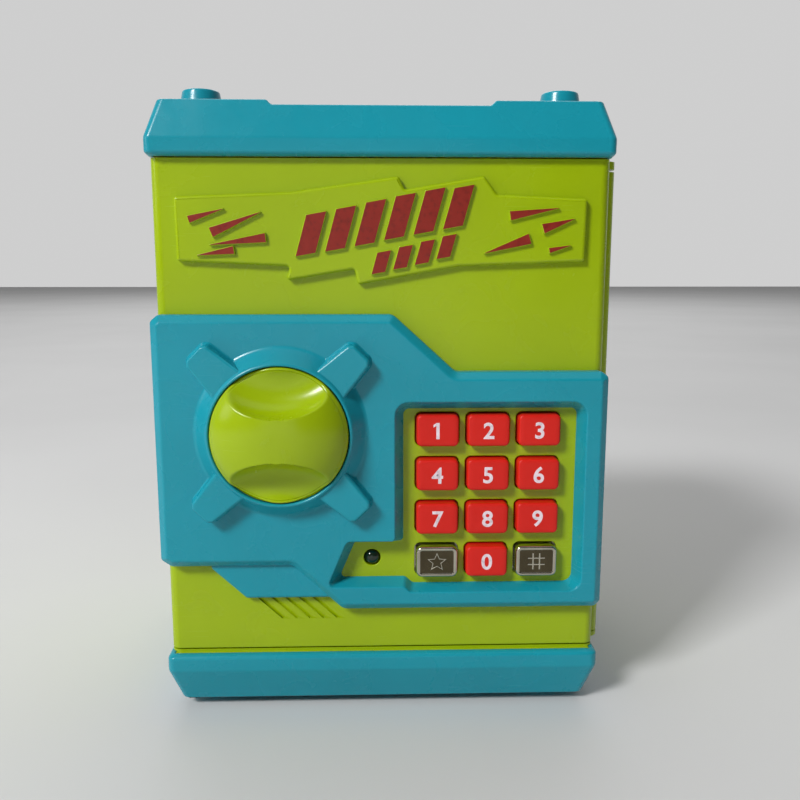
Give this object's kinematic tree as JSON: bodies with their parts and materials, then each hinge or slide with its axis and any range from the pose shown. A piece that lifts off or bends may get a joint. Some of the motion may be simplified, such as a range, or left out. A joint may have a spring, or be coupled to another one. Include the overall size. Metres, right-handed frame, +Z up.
{
  "type": "toy safe coin bank",
  "caption": "Toy safe money box with a hinged door, turning latch knob, press keypad behind a raised plate, slotted cap and four feet.",
  "frame": {"origin": "on the surface it stands on, midway between the safe's sides and midway between the knob's crown and the back of the cap; the hinge barrel stands 2.7 mm further out than the plate on the other side", "axes": "+Z up, -Y out of the door's face towards the user, +X towards the hinge side"},
  "size_m": [0.1429, 0.1357, 0.1963],
  "materials": {
    "lime_plastic": "glossy moulded ABS, lime green",
    "teal_plastic": "glossy moulded ABS, teal",
    "key_red": "satin moulded key, red",
    "key_chrome": "dark vacuum-metallised key with a bright rim",
    "banner_paint": "dark red print on the raised marks",
    "digit_print": "pale print on the keys",
    "plated_steel": "zinc-plated steel",
    "silicone": "grey silicone rubber",
    "circuit_board": "green solder mask on laminate",
    "black_plastic": "black moulded plastic",
    "smoked_lens": "dark smoked indicator lens",
    "cell_jacket": "dark cell jacket",
    "coil_tape": "amber coil tape"
  },
  "bodies": {
    "safe": {"case_shell": "lime_plastic", "top_cap": "teal_plastic", "base": "teal_plastic", "cap_screws": "plated_steel", "base_screws": "plated_steel", "hinge_pin_upper": "plated_steel", "hinge_pin_lower": "plated_steel"},
    "door": {"door_shell": "lime_plastic", "door_plate": "teal_plastic", "plate_screws": "plated_steel", "inner_cover": "lime_plastic", "inner_cover_screws": "plated_steel", "battery_cover": "lime_plastic", "battery_cover_screw": "plated_steel", "batteries": "cell_jacket", "battery_contacts": "plated_steel", "keypad_membrane": "silicone", "keypad_board": "circuit_board", "keypad_board_screws": "plated_steel", "main_board": "circuit_board", "board_components": "black_plastic", "main_board_screws": "plated_steel", "status_led": "smoked_lens", "speaker": "black_plastic", "solenoid_frame": "plated_steel", "solenoid_coil": "coil_tape", "plunger_spring": "plated_steel"},
    "knob": {"knob": "lime_plastic", "latch_arm": "plated_steel", "knob_screw": "plated_steel"},
    "plunger": {"lock_plunger": "plated_steel"},
    "key_1": {"key_1": "key_red"},
    "key_2": {"key_2": "key_red"},
    "key_3": {"key_3": "key_red"},
    "key_4": {"key_4": "key_red"},
    "key_5": {"key_5": "key_red"},
    "key_6": {"key_6": "key_red"},
    "key_7": {"key_7": "key_red"},
    "key_8": {"key_8": "key_red"},
    "key_9": {"key_9": "key_red"},
    "key_star": {"key_star": "key_chrome"},
    "key_0": {"key_0": "key_red"},
    "key_hash": {"key_hash": "key_chrome"}
  },
  "joints": [
    {"name": "door_hinge", "type": "hinge", "parent": "safe", "child": "door", "pos_m": [0.0694, -0.03765, 0], "axis": [0, 0, 1], "range_deg": [0, 115]},
    {"name": "knob_turn", "type": "hinge", "parent": "door", "child": "knob", "pos_m": [-0.0312, -0.04865, 0.0932], "axis": [0, 1, 0], "range_deg": [0, 90]},
    {"name": "lock_slide", "type": "slide", "parent": "door", "child": "plunger", "axis": [-1, 0, 0], "range_m": [0, 0.0045], "deforming": ["plunger_spring"]},
    {"name": "key_1_press", "type": "slide", "parent": "door", "child": "key_1", "axis": [0, 1, 0], "range_m": [0, 0.0015], "stiffness_N_per_m": 250, "deforming": ["keypad_membrane"]},
    {"name": "key_2_press", "type": "slide", "parent": "door", "child": "key_2", "axis": [0, 1, 0], "range_m": [0, 0.0015], "stiffness_N_per_m": 250, "deforming": ["keypad_membrane"]},
    {"name": "key_3_press", "type": "slide", "parent": "door", "child": "key_3", "axis": [0, 1, 0], "range_m": [0, 0.0015], "stiffness_N_per_m": 250, "deforming": ["keypad_membrane"]},
    {"name": "key_4_press", "type": "slide", "parent": "door", "child": "key_4", "axis": [0, 1, 0], "range_m": [0, 0.0015], "stiffness_N_per_m": 250, "deforming": ["keypad_membrane"]},
    {"name": "key_5_press", "type": "slide", "parent": "door", "child": "key_5", "axis": [0, 1, 0], "range_m": [0, 0.0015], "stiffness_N_per_m": 250, "deforming": ["keypad_membrane"]},
    {"name": "key_6_press", "type": "slide", "parent": "door", "child": "key_6", "axis": [0, 1, 0], "range_m": [0, 0.0015], "stiffness_N_per_m": 250, "deforming": ["keypad_membrane"]},
    {"name": "key_7_press", "type": "slide", "parent": "door", "child": "key_7", "axis": [0, 1, 0], "range_m": [0, 0.0015], "stiffness_N_per_m": 250, "deforming": ["keypad_membrane"]},
    {"name": "key_8_press", "type": "slide", "parent": "door", "child": "key_8", "axis": [0, 1, 0], "range_m": [0, 0.0015], "stiffness_N_per_m": 250, "deforming": ["keypad_membrane"]},
    {"name": "key_9_press", "type": "slide", "parent": "door", "child": "key_9", "axis": [0, 1, 0], "range_m": [0, 0.0015], "stiffness_N_per_m": 250, "deforming": ["keypad_membrane"]},
    {"name": "key_star_press", "type": "slide", "parent": "door", "child": "key_star", "axis": [0, 1, 0], "range_m": [0, 0.0015], "stiffness_N_per_m": 250, "deforming": ["keypad_membrane"]},
    {"name": "key_0_press", "type": "slide", "parent": "door", "child": "key_0", "axis": [0, 1, 0], "range_m": [0, 0.0015], "stiffness_N_per_m": 250, "deforming": ["keypad_membrane"]},
    {"name": "key_hash_press", "type": "slide", "parent": "door", "child": "key_hash", "axis": [0, 1, 0], "range_m": [0, 0.0015], "stiffness_N_per_m": 250, "deforming": ["keypad_membrane"]}
  ]
}
